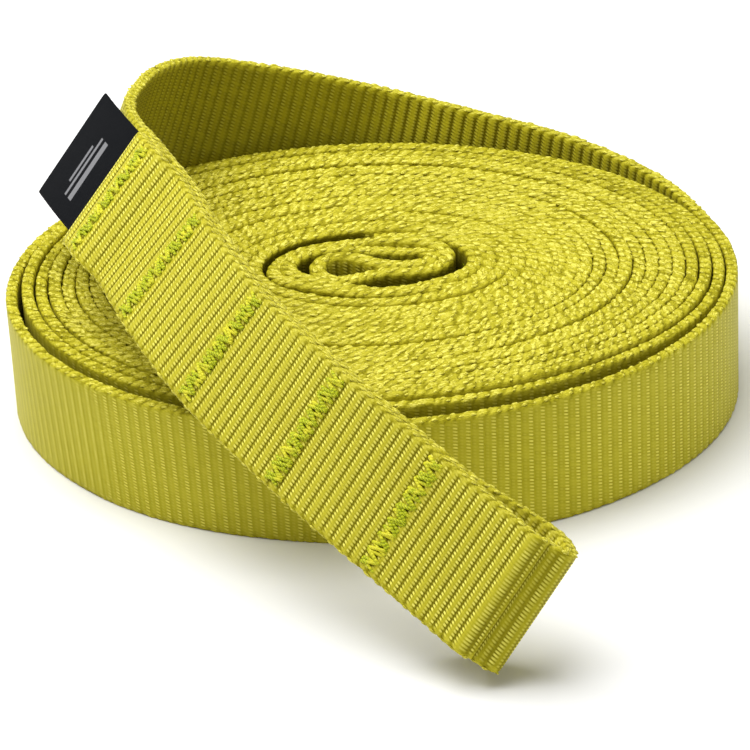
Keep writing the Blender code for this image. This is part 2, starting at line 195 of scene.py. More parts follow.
HUMP_SCATTER = 0.20 * MM            # how unevenly they lie, turn, swell and spread
YAW_SCATTER = 0.24
SIZE_SCATTER = 0.15
SPREAD_SCATTER = 0.10 * MM
CORE_HUMPS = 1.0                    # their size in the coil, on its outer turns, and on the free webbing
OUTER_HUMPS = 0.62
BAND_HUMPS = 0.86
COIL_JITTER = 0.3                   # how uneven the beads are
INNER_JITTER = 0.2
BAND_JITTER = 0.12
HUMP_SIDES = 6
HUMP_RINGS = (-0.65, 0.0, 0.65)
HUMP_ACROSS = 12.4                  # mm, where the material takes a hump to lie
HUMP_SHADING = (0.2, 0.9, 0.5)      # and how far its coordinates spread over a hump
TACK_SPREAD = 2.1 * MM
TACK_SINK = 0.10 * MM
TACK_FLATTENS = 0.7

# the stitches
STITCH_RADIUS = 0.32 * MM
STITCH_REACH = 1.75 * MM            # of the zigzag to each side of its row's middle
STITCH_RUNS = (27, 15)              # stitches in the first run across, and in the run back over it
STITCH_INSET = 0.6 * MM
STITCH_UNEVEN = (0.82, 1.12)        # share of the reach
STITCH_SCATTER = 0.2                # mm
STITCH_POINTS = 9
STITCH_ARCH, STITCH_SUNK, SECOND_RUN = 0.34, 0.20, 0.14       # mm off the face
ARCH_POWER = 0.6

# colours and shades
# the first colour is the painted highlight on yarns that stand up; HOLLOW is the dark colour for painted
# shade and for the yarns' uneven tone
YARN_HIGHLIGHT = (0.95, 0.88, 0.16, 1.0)
YARN = (0.76, 0.685, 0.030, 1.0)
HOLLOW = (0.15, 0.128, 0.002, 1.0)
WRAP_TICK = 0.6                     # how strong the painted highlights on the slanted yarns are on the flat outer turns, 1 on ribs
WRAP_SHADE = 0.42                   # how much darker the flat outer turns are than the crests of the ribs
BACK_SHADE = 0.22                   # and the webbing's back face, which is the sewn end's upper side
INNER_SHADE = 0.12                  # and once more where that face is wound inwards
INNER_CALM = 0.75                   # where the painted highlights on its slanted yarns show less
LEAVES_BACK = 160.0 * MM            # from here on the back face is turned to the front
CORE_SHADE = 0.30                   # painted shade on the faces deep in the core
CORE_REACH = 60.0 * MM
rng = np.random.default_rng(11)


# ---- curves ---------------------------------------------------------------------------------------------
def smoothstep(value):
    value = np.clip(value, 0.0, 1.0)
    return value * value * (3.0 - 2.0 * value)


def unit(rows):
    return rows / np.linalg.norm(rows, axis=-1, keepdims=True)


def arc_lengths(points):
    steps = np.linalg.norm(np.diff(points, axis=0), axis=1)
    return np.concatenate([[0.0], np.cumsum(steps)])


def columns_at(wanted, along, rows):
    """Each column of rows, read at the wanted distances."""
    return np.stack([np.interp(wanted, along, rows[:, axis]) for axis in range(rows.shape[1])], axis=-1)


def resample(points, step):
    along = arc_lengths(points[:, :3])
    count = max(2, int(round(along[-1] / step)) + 1)
    return columns_at(np.linspace(0.0, along[-1], count), along, points)


def smooth_curve(points, step):
    """A cubic through the points, spaced evenly along its length."""
    points = np.array(points, dtype=float)
    knots = arc_lengths(points[:, :3])
    slopes = np.gradient(points, knots, axis=0)
    fine = []
    for index in range(len(points) - 1):
        span = knots[index + 1] - knots[index]
        for part in np.linspace(0.0, 1.0, SPAN_PARTS, endpoint=False):
            keep = 2 * part ** 3 - 3 * part ** 2 + 1
            leave = part ** 3 - 2 * part ** 2 + part
            arrive = part ** 3 - part ** 2
            fine.append(keep * points[index] + (1 - keep) * points[index + 1]
                        + span * (leave * slopes[index] + arrive * slopes[index + 1]))
    fine.append(points[-1])
    return resample(np.array(fine), step)


class Strip:
    """A route for webbing: middle points, upper-edge directions and face normals, read by distance."""

    def __init__(self, points, edges):
        self.points = np.array(points, dtype=float)
        tangents = unit(np.gradient(self.points, axis=0))
        edges = np.array(edges, dtype=float)
        self.edges = unit(edges - tangents * np.sum(edges * tangents, axis=1)[:, None])
        self.normals = np.cross(tangents, self.edges)
        self.along = arc_lengths(self.points)

    def at(self, distances):
        """Middle points, edge directions and normals at some distances along the strip."""
        point, edge, normal = [columns_at(distances, self.along, rows)
                               for rows in (self.points, self.edges, self.normals)]
        return point, unit(edge), unit(normal)

    def raised(self, distances, heights):
        """Points off the strip along its normal, and the edge directions there."""
        point, edge, normal = self.at(distances)
        return point + normal * np.asarray(heights)[..., None], edge


# ---- the winding ----------------------------------------------------------------------------------------
def layers_below(turn):
    """How many layers of webbing lie under the strip at this point of the winding."""
    layers = turn + 1.0 + STITCHED_LAYERS * min(max(turn, 0.0), DOUBLED_TURNS)
    if turn > DOUBLED_TURNS:
        past = turn - DOUBLED_TURNS
        around = past % 1.0
        falling = 1.0 - smoothstep((around - SETTLE_TURN) / (1.0 - SETTLE_TURN))
        settle = smoothstep(around / SETTLE_TURN) * falling
        layers -= SETTLE_LAYERS * math.exp(-SETTLE_FADE * past) * settle
    return layers


def coil_point(turn, inward=0.0):
    """A point of the winding, seen from above; inward counts layers towards the core."""
    share = (layers_below(turn) - inward) / layers_below(COIL_TURNS)
    angle = 2.0 * math.pi * turn
    half_x = CORE_HALF[0] + (RIM_HALF[0] - CORE_HALF[0]) * share
    half_y = CORE_HALF[1] + (RIM_HALF[1] - CORE_HALF[1]) * share
    left = COIL_TURNS - turn
    if SLACK_SPAN[1] < left < SLACK_SPAN[0]:
        bump = math.sin(math.pi * (left - SLACK_SPAN[1]) / (SLACK_SPAN[0] - SLACK_SPAN[1])) ** 2
        half_x += SLACK * bump
        half_y += SLACK * bump
    middle_x = CORE_CENTRE[0] + (COIL_CENTRE[0] - CORE_CENTRE[0]) * share
    middle_y = CORE_CENTRE[1] + (COIL_CENTRE[1] - CORE_CENTRE[1]) * share
    return (middle_x + half_x * math.cos(angle), middle_y + half_y * math.sin(angle), WEB_WIDTH / 2)


def near_place(turn, place, half, fade):
    """1 near one place of every turn, falling smoothly to 0 at half on each side of it, all in turns."""
    return float(smoothstep((half - abs((turn % 1.0) - place)) / fade))


def settled_in(turn):
    """How far the turns under the last one are pressed inwards, where it stands off at the front right."""
    packed = smoothstep((turn - PRESS_FROM) / PRESS_GROWTH) * (turn < COIL_TURNS - PRESS_END)
    return PRESS * float(packed) * near_place(turn, PRESS_PLACE, PRESS_HALF, PRESS_FADE)


def tucked_under(turn):
    """The angle by which the turns lean outwards at the front left, where their foot is tucked in."""
    grown = float(smoothstep((turn - TUCK_FROM) / TUCK_GROWTH))
    return TUCK * grown * near_place(turn, TUCK_PLACE, TUCK_HALF, TUCK_FADE)


def lift(turn):
    """How far a turn stands off the floor: the inner turns aren't pushed quite flat."""
    wave = sum(height * math.sin(pace * turn + phase) for height, pace, phase in LIFT_WAVES)
    fade = smoothstep((COIL_TURNS - LIFT_END - turn) / LIFT_FADE)
    return (LIFT + wave) * MM * float(fade)


def inner_route():
    core = np.array([*CORE_CENTRE, WEB_WIDTH / 2])
    points = [core + np.array([x * MM, y * MM, 0.0]) for x, y in INNER_BEND]
    steps = int(STEPS_PER_TURN * (DOUBLED_TURNS - INNER_JOIN))
    for index in range(steps + 1):
        turn = INNER_JOIN + (DOUBLED_TURNS - INNER_JOIN) * index / steps
        points.append(np.array(coil_point(turn, inward=0.5)))
    return smooth_curve(points, FINE)


# the coil, from the doubled end to where it leaves
turns = np.linspace(DOUBLED_TURNS, COIL_TURNS, int(720 * (COIL_TURNS - DOUBLED_TURNS)))
coil_points = np.array([coil_point(turn) for turn in turns])
coil_points[:, 2] += [lift(turn) for turn in turns]
inwards = unit(np.array([*COIL_CENTRE]) - coil_points[:, :2])
coil_points[:, :2] += inwards * np.array([settled_in(turn) for turn in turns])[:, None]
leaning = np.array([tucked_under(turn) for turn in turns])[:, None]
coil_points[:, :2] += inwards * np.sin(leaning) * WEB_WIDTH / 2
coil = Strip(coil_points, np.hstack([-inwards * np.sin(leaning), np.cos(leaning)]))
COIL_LENGTH = coil.along[-1]

# the free webbing
leaving = [coil_point(COIL_TURNS - LEAD_IN), coil_point(COIL_TURNS)]
control = [(*point, 0.0, 0.0) for point in leaving]
control += [(x * MM, y * MM, z * MM, lean_x, lean_y) for (x, y, z), (lean_x, lean_y) in FREE_ROUTE]
route = smooth_curve(control, FINE)
along_route = arc_lengths(route[:, :3])
led_in = np.linalg.norm(np.subtract(*leaving))
route = columns_at(np.linspace(led_in, along_route[-1], len(route)), along_route, route)
ahead = unit(route[-1, :3] - route[-10, :3])
run_on_steps = 34
reaches = np.arange(1, run_on_steps + 1) * RUN_ON / run_on_steps
route = np.vstack([route, np.hstack([route[-1, :3] + ahead * reaches[:, None],
                                     np.tile(route[-1, 3:], (len(reaches), 1))])])
leans = np.hstack([route[:, 3:], np.sqrt(1.0 - np.sum(route[:, 3:] ** 2, axis=1))[:, None]])
free = Strip(route[:, :3], leans)

eye_turn = free.along[-1] - RUN_ON
rows = [eye_turn - EYE_LENGTH - ROW_PITCH * (ROW_COUNT - 1 - row) for row in range(ROW_COUNT)]
neck_at = rows[-1] + NECK
hem_at = rows[0] - HEM_BEYOND_ROW
bend_at = hem_at - BEND_BEFORE_HEM
hem_rise = LAYER_STEP + HEM_STEP

# the CAD part stands on its box's centre: one joint's pivot gives how far that moved it
pivots = {joint["name"]: np.array(joint["pos_m"]) for joint in frame["joints"]}
SHIFT = pivots["free_end_swing"] - free.raised(bend_at, WEB_THICK / 2)[0]
SHIFT[2] = 0.0


# ---- the weave's relief ---------------------------------------------------------------------------------
def bulge(phase):
    """A rounded ridge for each whole step of phase: 1 on its crest, 0 in the crease between two."""
    return 1.0 - np.abs(2.0 * (phase % 1.0) - 1.0) ** BEAD_POWER


def section(face_points, edge_points, width=WEB_WIDTH, thick=WEB_THICK, rounding=EDGE_ROUND):
    """The webbing's outline: places across its width and thickness, outward directions, and two shares.

    The first share is 0 on the front face, grows to 1 over the upper selvedge, stays 1 on the back face and
    falls back to 0 over the lower selvedge. The second is how much of the selvedge's relief a point takes.
    """
    half, flat = width / 2, width / 2 - rounding
    rows = []
    for place in np.linspace(-flat, flat, face_points):
        rows.append((place, thick / 2, 0.0, 1.0, 0.0, 0.0))
    turned = np.linspace(0.0, 1.0, edge_points + 2)[1:-1]
    for side in (1.0, -1.0):
        if side < 0:
            for place in np.linspace(flat, -flat, face_points):
                rows.append((place, -thick / 2, 0.0, -1.0, 1.0, 0.0))
        for share in turned:
            out, up = math.sin(math.pi * share), side * math.cos(math.pi * share)
            square_out, square_up = out ** SQUARENESS, math.copysign(abs(up) ** SQUARENESS, up)
            rows.append((side * (flat + (half - flat) * square_out), thick / 2 * square_up, side * out, up,
                         share if side > 0 else 1.0 - share, out ** RELIEF_POWER))
    return np.array(rows)


def hump_shape():
    """A round hump of unit size: a tip, three rings and a tip, with its quads and its end triangles."""
    around = [math.pi * 2.0 * a / HUMP_SIDES for a in range(HUMP_SIDES)]
    rings = [(x, math.sqrt(1.0 - x * x) * math.cos(angle), math.sqrt(1.0 - x * x) * math.sin(angle))
             for x in HUMP_RINGS for angle in around]
    corners = np.array([(-1.0, 0.0, 0.0)] + rings + [(1.0, 0.0, 0.0)])
    last_ring, last = len(corners) - 1 - HUMP_SIDES, len(corners) - 1
    quads, caps = [], []
    for base in range(1, last_ring, HUMP_SIDES):
        for a in range(HUMP_SIDES):
            after = (a + 1) % HUMP_SIDES
            quads.append((base + a, base + after, base + HUMP_SIDES + after, base + HUMP_SIDES + a))
    for a in range(HUMP_SIDES):
        caps.append((0, 1 + (a + 1) % HUMP_SIDES, 1 + a))
    for a in range(HUMP_SIDES):
        caps.append((last, last_ring + a, last_ring + (a + 1) % HUMP_SIDES))
    return corners, np.array(quads), np.array(caps)


def yarn_humps(strip, start, sides, scale):
    """Short plump humps, two to a rib, where the weft turns round at a selvedge, each at a slant."""
    corners, quads, caps = hump_shape()
    ribs = np.arange(math.ceil(start / RIB_PITCH), math.floor((start + strip.along[-1]) / RIB_PITCH))
    count = len(ribs)
    verts, coords = [], []
    for side in sides:
        for half in (-1.0, 1.0):
            along = (ribs + 0.5 - HUMP_PLACE * half) * RIB_PITCH - start
            along = np.clip(along + HUMP_SCATTER * rng.normal(size=count), 0.0, strip.along[-1])
            middle, edge, normal = strip.at(along)
            tangent = np.cross(edge, normal)
            yaw = (HUMP_YAW + YAW_SCATTER * rng.normal(size=count))[:, None]
            long_way = tangent * np.cos(yaw) - normal * np.sin(yaw)
            short_way = tangent * np.sin(yaw) + normal * np.cos(yaw)
            size = scale * np.clip(1.0 + SIZE_SCATTER * rng.normal(size=count), 0.6, 1.4)[:, None, None]
            deep = (half * HUMP_SPREAD + SPREAD_SCATTER * rng.normal(size=count))[:, None]
            centre = middle + normal * deep + edge * (side * (WEB_WIDTH / 2 - HUMP_SUNK))
            x, y, z = (corners * [HUMP_LENGTH, HUMP_WIDTH, HUMP_HEIGHT]).T[..., None]
            shape = long_way[:, None] * x + short_way[:, None] * y + side * edge[:, None] * z
            verts.append(centre[:, None] + size * shape)
            across = np.full(count, side * HUMP_ACROSS)
            place = np.stack([across, (start + along) / MM, deep[:, 0] / MM], axis=-1)
            coords.append(place[:, None] + corners * HUMP_SHADING)
    verts, coords = np.concatenate(verts), np.concatenate(coords)
    first = np.arange(len(verts))[:, None, None] * len(corners)
    quads, caps = (first + quads[None]).reshape(-1, 4), (first + caps[None]).reshape(-1, 3)
    return verts.reshape(-1, 3), coords.reshape(-1, 3), quads.tolist() + caps.tolist()


def made_object(name, verts, faces, layers, material):
    """A smooth object of one material, with its own coordinates for the material to read."""
    mesh = bpy.data.meshes.new(name)
    mesh.from_pydata((verts + SHIFT).tolist(), [], faces)
    mesh.update()
    mesh.shade_smooth()
    for layer, values in layers.items():
        attribute = mesh.attributes.new(layer, "FLOAT_VECTOR", "POINT")
        attribute.data.foreach_set("vector", values.astype(np.float32).ravel())
    mesh.materials.append(material)
    made = bpy.data.objects.new(name, mesh)
    bpy.context.scene.collection.objects.link(made)
    return made


def webbing(name, points, edges, start, face_relief, edge_relief, outline, material,
            jitter=0.0, tacks=(), humps=(), hump_scale=BAND_HUMPS):
    """Webbing swept along points, with ribs across its faces and slanted beads along its selvedges.

    start is the strip's own distance at the first point, so that ribs run on from piece to piece.
    face_relief and edge_relief are heights in metres, one number or one for each point. tacks are the
    distances of sewn rows, where the faces are drawn in. humps names the selvedges, -1 lower and 1 upper,
    that get a hump for each turn of the weft. jitter is how uneven the beads are.
    """
    strip = Strip(points, edges)
    step = RIB_PITCH / STEPS_PER_RIB
    count = max(3, int(round(strip.along[-1] / step)) + 1)
    wanted = np.linspace(0.0, strip.along[-1], count)
    middle, edge, normal = strip.at(wanted)
    distance = start + wanted
    face = np.interp(wanted, strip.along, np.broadcast_to(face_relief, len(strip.along)))
    bead = np.interp(wanted, strip.along, np.broadcast_to(edge_relief, len(strip.along)))
    across, deep, out_across, out_deep, turned, selvedge = outline.T
    phase = distance / RIB_PITCH
    first_rib = int(math.floor(phase.min())) - 2
    rib_marks = np.arange(first_rib, int(math.ceil(phase.max())) + 3)
    strength = 1.0 + jitter * rng.normal(size=len(rib_marks))
    shuffle = jitter * rng.normal(size=len(rib_marks))
    rib = (np.sin(math.pi * phase) ** 2)[:, None]
    edge_phase = phase[:, None] - turned[None, :] + np.interp(phase, rib_marks, shuffle)[:, None]
    beads = bulge(edge_phase) * np.clip(np.interp(phase, rib_marks, strength), 0.35, 1.6)[:, None]
    drawn_in = np.zeros((count, 1))
    for tack in tacks:
        drawn_in[:, 0] += np.exp(-((wanted - tack) / TACK_SPREAD) ** 4)
    size = len(outline)
    on_faces = face[:, None] * (rib - RIB_MEAN) * (1.0 - TACK_FLATTENS * drawn_in) - TACK_SINK * drawn_in
    on_edges = bead[:, None] * (beads - BEAD_MEAN) + FUZZ * rng.normal(size=(count, size))
    raise_by = on_faces * (1.0 - selvedge) + on_edges * selvedge
    place = across + out_across * raise_by
    depth = deep + out_deep * raise_by
    verts = middle[:, None, :] + edge[:, None, :] * place[..., None] + normal[:, None, :] * depth[..., None]
    first = (np.arange(count - 1) * size)[:, None]
    here, there = np.arange(size), (np.arange(size) + 1) % size
    quads = np.stack([first + here, first + there, first + size + there, first + size + here], axis=-1)
    faces = [tuple(quad) for quad in quads.reshape(-1, 4).tolist()]
    faces.append(tuple(reversed(range(size))))
    faces.append(tuple(range((count - 1) * size, count * size)))
    verts = verts.reshape(-1, 3)
    shape = (count, size)
    coords = np.stack([np.broadcast_to(across / MM, shape), np.broadcast_to((distance / MM)[:, None], shape),
                       np.broadcast_to(deep / MM, shape)], axis=-1).reshape(-1, 3)
    reliefs = np.stack([np.broadcast_to((face / BAND_RELIEF)[:, None], shape),
                        beads * (BESIDE_HUMPS if humps else 1.0),
                        np.broadcast_to(selvedge, shape)], axis=-1).reshape(-1, 3)
    if humps:
        hump_verts, hump_coords, hump_faces = yarn_humps(strip, start, humps, hump_scale)
        faces += [tuple(corner + len(verts) for corner in hump) for hump in hump_faces]
        verts = np.vstack([verts, hump_verts])
        coords = np.vstack([coords, hump_coords])
        reliefs = np.vstack([reliefs, np.tile((0.0, 1.0, 1.0), (len(hump_verts), 1))])
    return made_object(name, verts, faces, {"weave": coords, "relief": reliefs}, material)


# ---- materials ------------------------------------------------------------------------------------------
class Graph:
    """A material's nodes, with short ways to make the ones that do sums."""

    def __init__(self, name, colour, roughness):
        self.material = bpy.data.materials.new(name)
        self.material.use_nodes = True
        self.nodes = self.material.node_tree.nodes
        self.links = self.material.node_tree.links
        self.shader = self.nodes["Principled BSDF"]
        self.shader.inputs["Base Color"].default_value = (*colour, 1.0)
        self.shader.inputs["Roughness"].default_value = roughness
        self.material.diffuse_color = (*colour, 1.0)

    def join(self, value, socket):
        if isinstance(value, bpy.types.NodeSocket):
            self.links.new(value, socket)
        else:
            socket.default_value = value

    def add(self, kind, inputs=None, **settings):
        node = self.nodes.new(kind)
        for key, value in settings.items():
            setattr(node, key, value)
        for key, value in (inputs or {}).items():
            self.join(value, node.inputs[key])
        return node

    def math(self, operation, *values):
        node = self.add("ShaderNodeMath", operation=operation)
        for value, socket in zip(values, node.inputs):
            self.join(value, socket)
        return node.outputs[0]

    def times(self, first, *others):
        for other in others:
            first = self.math("MULTIPLY", first, other)
        return first

    def plus(self, first, *others):
        for other in others:
            first = self.math("ADD", first, other)
        return first

    def minus(self, first, second):
        return self.math("SUBTRACT", first, second)

    def distance(self, first, second):
        return self.math("ABSOLUTE", self.minus(first, second))

    def ramp(self, value, low, high, at_low=0.0, at_high=1.0):
        """Value taken smoothly from one range to another."""
        node = self.add("ShaderNodeMapRange", interpolation_type="SMOOTHSTEP")
        for socket, setting in zip(node.inputs, (value, low, high, at_low, at_high)):
            self.join(setting, socket)
        return node.outputs[0]

    def noise(self, vector, scale, detail=2.0):
        node = self.add("ShaderNodeTexNoise", {"Vector": vector, "Scale": scale, "Detail": detail})
        return node.outputs["Fac"]

    def mix(self, factor, first, second):
        node = self.add("ShaderNodeMix", data_type="RGBA")
        self.join(factor, node.inputs[0])
        self.join(first, node.inputs[6])
        self.join(second, node.inputs[7])
        return node.outputs[2]

    def bump(self, height):
        """Bump by a height in millimetres."""
        bump = self.add("ShaderNodeBump", {"Height": height, "Distance": MM, "Strength": 1.0})
        self.join(bump.outputs[0], self.shader.inputs["Normal"])

    def coordinates(self, layer):
        vector = self.add("ShaderNodeAttribute", attribute_name=layer).outputs["Vector"]
        return vector, self.add("ShaderNodeSeparateXYZ", {"Vector": vector}).outputs


def webbing_material():
    """Yellow polyester webbing, from the strip's own coordinates in millimetres."""
    g = Graph("yellow_webbing", (0.60, 0.54, 0.02), 0.50)
    weave, (across, along, deep) = g.coordinates("weave")
    _, (ribbed, bead, selvedge) = g.coordinates("relief")
    faces = g.minus(1.0, selvedge)
    flat = g.minus(1.0, ribbed)
    rib = g.math("DIVIDE", along, RIB_PITCH / MM)
    index = g.math("FLOOR", rib)
    from_crest = g.minus(g.math("FRACT", rib), 0.5)
    flank = g.times(g.math("ABSOLUTE", from_crest), 2.0)        # 0 on a rib's crest, 1 in the valley
    side = g.math("DIVIDE", deep, WEB_THICK / MM / 2)
    # yarns across the width: each one leans a little to the length
    slant = g.times(from_crest, side, 0.95)
    yarn = g.plus(g.math("DIVIDE", across, YARN_PITCH / MM), slant, g.times(index, 0.5))
    in_yarn = g.math("FRACT", yarn)
    round_yarn = g.times(in_yarn, g.minus(1.0, in_yarn), 4.0)
    body = g.ramp(g.math("ABSOLUTE", across), 12.1, 11.2)       # the faces without their selvedges
    groove = g.times(g.minus(1.0, g.math("POWER", round_yarn, 0.5)), body, g.ramp(flank, 1.0, 0.86))
    # the painted highlights on the dashes: one column to a rib on the flat turns, one on each flank where the
    # ribs stand up
    on_flanks = g.ramp(g.distance(flank, 0.56), 0.36, 0.10)
    on_one_flank = g.ramp(g.distance(from_crest, 0.22), 0.22, 0.12)
    shown = g.plus(g.times(on_flanks, ribbed), g.times(on_one_flank, g.times(flat, WRAP_TICK)))
    cell = g.add("ShaderNodeCombineXYZ", {"X": g.math("FLOOR", yarn), "Y": index}).outputs[0]
    tint = g.add("ShaderNodeTexWhiteNoise", {"Vector": cell}, noise_dimensions="3D").outputs["Value"]
    tick = g.times(shown, g.ramp(round_yarn, 0.45, 0.95), body, g.ramp(tint, 0.0, 1.0, 0.45, 1.0))
    # the face wound inwards, up to where the webbing comes forward over the coil
    back_face = g.math("LESS_THAN", deep, -0.5)
    inner_face = g.times(back_face, g.math("LESS_THAN", along, LEAVES_BACK / MM))
    tick = g.times(tick, g.minus(1.0, g.times(inner_face, INNER_CALM)))
    # fine filaments that run along each bead of the selvedge and each yarn
    stretched = g.add("ShaderNodeMapping", {"Vector": weave, "Scale": (9.0, 1.6, 9.0)}).outputs[0]
    filaments = g.noise(stretched, 1.0, 1.0)
    edge_lines = g.add("ShaderNodeMapping", {"Vector": weave, "Scale": (3.0, 2.0, 7.0)}).outputs[0]
    strands = g.noise(edge_lines, 1.0, 2.0)
    deepness = g.plus(g.times(g.ramp(flank, 0.0, 1.0, 0.35, 1.0), ribbed), g.times(on_one_flank, 0.55))
    grooves = g.times(groove, deepness)
    height = g.minus(g.times(filaments, 0.05), g.times(grooves, 0.11))
    g.bump(g.plus(height, g.times(strands, selvedge, 0.12)))
    # painted shade on the faces: in the ribs' valleys, between yarns, and where the webbing lies inside
    valley = g.times(g.ramp(flank, 0.30, 1.0), g.times(ribbed, 0.52))
    in_core = g.math("LESS_THAN", along, (CORE_REACH - COIL_LENGTH) / MM)
    dark = g.plus(valley, g.times(grooves, 0.34), g.times(flat, WRAP_SHADE), g.times(inner_face, INNER_SHADE),
                  g.times(in_core, CORE_SHADE), g.times(back_face, BACK_SHADE))
    # painted shade on the selvedges in the creases between beads, and darker wisps along the yarns
    hollow = g.plus(g.times(g.ramp(bead, 0.70, 0.05), 0.42), 0.10)
    wisp = g.times(g.ramp(strands, 0.56, 0.40), 0.30)
    dark = g.plus(g.times(dark, faces), g.times(g.plus(hollow, wisp), selvedge))
    # a little unevenness, from yarn to yarn and from place to place
    broad = g.noise(g.add("ShaderNodeTexCoord").outputs["Object"], 45.0, 3.0)
    dark = g.math("MINIMUM", g.plus(dark, g.times(tint, 0.10), g.times(broad, 0.18)), 1.0)
    # painted highlights on the yarns that stand up
    dab = g.times(g.ramp(bead, 0.72, 1.05), g.ramp(strands, 0.42, 0.62), selvedge)
    highlight = g.math("MAXIMUM", tick, g.times(dab, 0.70))
    g.join(g.mix(highlight, g.mix(dark, YARN, HOLLOW), YARN_HIGHLIGHT), g.shader.inputs["Base Color"])
    g.join(g.ramp(dark, 0.0, 0.7, 0.42, 0.04), g.shader.inputs["Specular IOR Level"])
    g.shader.inputs["Sheen Weight"].default_value = 0.03
    g.shader.inputs["Sheen Roughness"].default_value = 0.4
    g.shader.inputs["Sheen Tint"].default_value = (1.0, 0.95, 0.30, 1.0)
    return g.material


def thread_material():
    """Lime sewing thread: twisted, a little glossy."""
    g = Graph("lime_thread", (0.42, 0.50, 0.01), 0.5)
    _, (around, along, _) = g.coordinates("weave")
    twist = g.math("SINE", g.times(g.plus(around, g.times(along, 1.6)), 2.0 * math.pi))
    g.bump(g.times(twist, 0.03))
    patch = g.noise(g.add("ShaderNodeTexCoord").outputs["Object"], 400.0)
    # painted shade in the grooves of the twist, lighter on its plies
    lime = g.mix(g.ramp(twist, -1.0, 1.0), (0.29, 0.33, 0.005, 1.0), (0.56, 0.61, 0.014, 1.0))
    g.join(g.mix(g.ramp(patch, 0.45, 0.65), lime, (0.70, 0.66, 0.03, 1.0)), g.shader.inputs["Base Color"])
    g.shader.inputs["Specular IOR Level"].default_value = 0.18
    return g.material


def label_material():
    """Black woven ribbon, with plain pale bars woven in."""
    g = Graph("black_ribbon", (0.006, 0.0065, 0.008), 0.75)
    _, (across, along, _) = g.coordinates("weave")
    thread_pitch = 0.42
    warp = g.math("SINE", g.times(across, 2.0 * math.pi / thread_pitch))
    weft = g.math("SINE", g.times(along, 2.0 * math.pi / thread_pitch))
    cloth = g.times(warp, weft)
    g.bump(g.times(cloth, 0.03))

    def bar(middle, half_length, half_width):
        inside = g.math("LESS_THAN", g.distance(across, -1.0), half_length)
        return g.times(inside, g.math("LESS_THAN", g.distance(along, middle), half_width))

    bars = g.plus(bar(12.6, 6.4, 0.9), bar(15.2, 6.4, 0.45), bar(17.0, 4.0, 0.45))
    printed = g.times(bars, g.ramp(cloth, -1.0, 0.6, 0.55, 1.0))
    # painted shade where the woven threads dip, lighter where they rise
    black = g.mix(g.ramp(cloth, -1.0, 1.0), (0.002, 0.0022, 0.003, 1.0), (0.008, 0.009, 0.011, 1.0))
    g.join(g.mix(printed, black, (0.27, 0.27, 0.28, 1.0)), g.shader.inputs["Base Color"])
    g.shader.inputs["Specular IOR Level"].default_value = 0.06
    return g.material


WEBBING = webbing_material()
THREAD = thread_material()
RIBBON = label_material()

# ---- the webbing ----------------------------------------------------------------------------------------
FULL = section(9, 7)
RIM = section(2, 7, thick=PACKED_THICK, rounding=PACKED_ROUND)      # where only the selvedges show
CORE = section(2, 7, thick=CORE_THICK, rounding=PACKED_ROUND)
CRUSHED = section(5, 7, thick=CRUSHED_THICK)
UPPER_EDGE, BOTH_EDGES = (1.0,), (-1.0, 1.0)


# the coil: distances are counted back from where it leaves, and the pieces meet in a crease between ribs
cuts = [-COIL_LENGTH]
for wanted_cut in COIL_CUTS:
    cuts.append(-round(wanted_cut / RIB_PITCH) * RIB_PITCH)
cuts.append(0.0)
for number, (first, last) in enumerate(zip(cuts[:-1], cuts[1:])):
    places = np.linspace(COIL_LENGTH + first, COIL_LENGTH + last, int((last - first) / FINE) + 2)
    points, edges, _ = coil.at(places)
    outline, hump_scale = (RIM if number else CORE), CORE_HUMPS
    if first >= -FACES_SHOW:
        outline, hump_scale = FULL, OUTER_HUMPS
    piece = webbing(f"coil_winding_{number + 1}", points, edges, first, WRAP_RELIEF, COIL_BEAD, outline,
                    WEBBING, jitter=COIL_JITTER, humps=UPPER_EDGE, hump_scale=hump_scale)
    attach(piece, "coil")
    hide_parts("coil_webbing")

# the inner end: doubled, with its eye lying in the core
inner_points = inner_route()
inner = Strip(inner_points, np.tile((0.0, 0.0, 1.0), (len(inner_points), 1)))
inner_end = inner.along[-1]
neck, neck_edge, neck_normal = [row[0] for row in inner.at(np.array([0.0]))]
neck_outward = -np.cross(neck_edge, neck_normal)


def round_eye(length, radius):
    """The inner eye's outline as reach and height over its neck: near layer, round end, far layer."""
    share = np.linspace(0.0, 1.0, EYE_STEPS, endpoint=False)
    turned = math.pi * np.linspace(0.0, 1.0, EYE_STEPS + 1)
    near = HALF_STEP + (radius - HALF_STEP) * smoothstep(share)
    reach = np.concatenate([length * share, length + radius * np.sin(turned), length * share[::-1]])
    return reach, np.concatenate([near, radius * np.cos(turned), -near[::-1]])


def folded_eye(length):
    """The outer eye's outline: flat above, creased at the crest, hollow to its folded tip, slack below."""
    share = np.linspace(0.0, 1.0, EYE_STEPS, endpoint=False)
    turning = (np.arange(CREST_STEPS) + 0.5) / CREST_STEPS
    falls = np.concatenate([CREST_TURN * smoothstep(turning),
                            CREST_TURN + (END_ANGLE - CREST_TURN) * smoothstep(turning) ** END_EASE])
    steps = np.repeat([CREST_LENGTH / CREST_STEPS, END_FACE / CREST_STEPS], CREST_STEPS)[:, None]
    end = np.cumsum(np.stack([np.cos(falls), -np.sin(falls)], axis=1) * steps, axis=0) + [length, HALF_STEP]
    centre = end[-1] - TIP_RADIUS * np.array([math.sin(END_ANGLE), math.cos(END_ANGLE)])
    around = np.linspace(END_ANGLE, TIP_TURN, TIP_STEPS)[1:]
    tip = centre + TIP_RADIUS * np.stack([np.sin(around), np.cos(around)], axis=1)
    far_reach, far_height = tip[-1]
    back = share[::-1]
    sag = -math.tan(TIP_TURN) * far_reach
    belly = np.stack([far_reach * back, -HALF_STEP + (far_height + HALF_STEP) * smoothstep(back)
                      + sag * back ** 2 * (back - 1.0)], axis=1)
    line = np.vstack([np.stack([length * share, np.full(EYE_STEPS, HALF_STEP)], axis=1), end, tip, belly])
    return line[:, 0], line[:, 1]


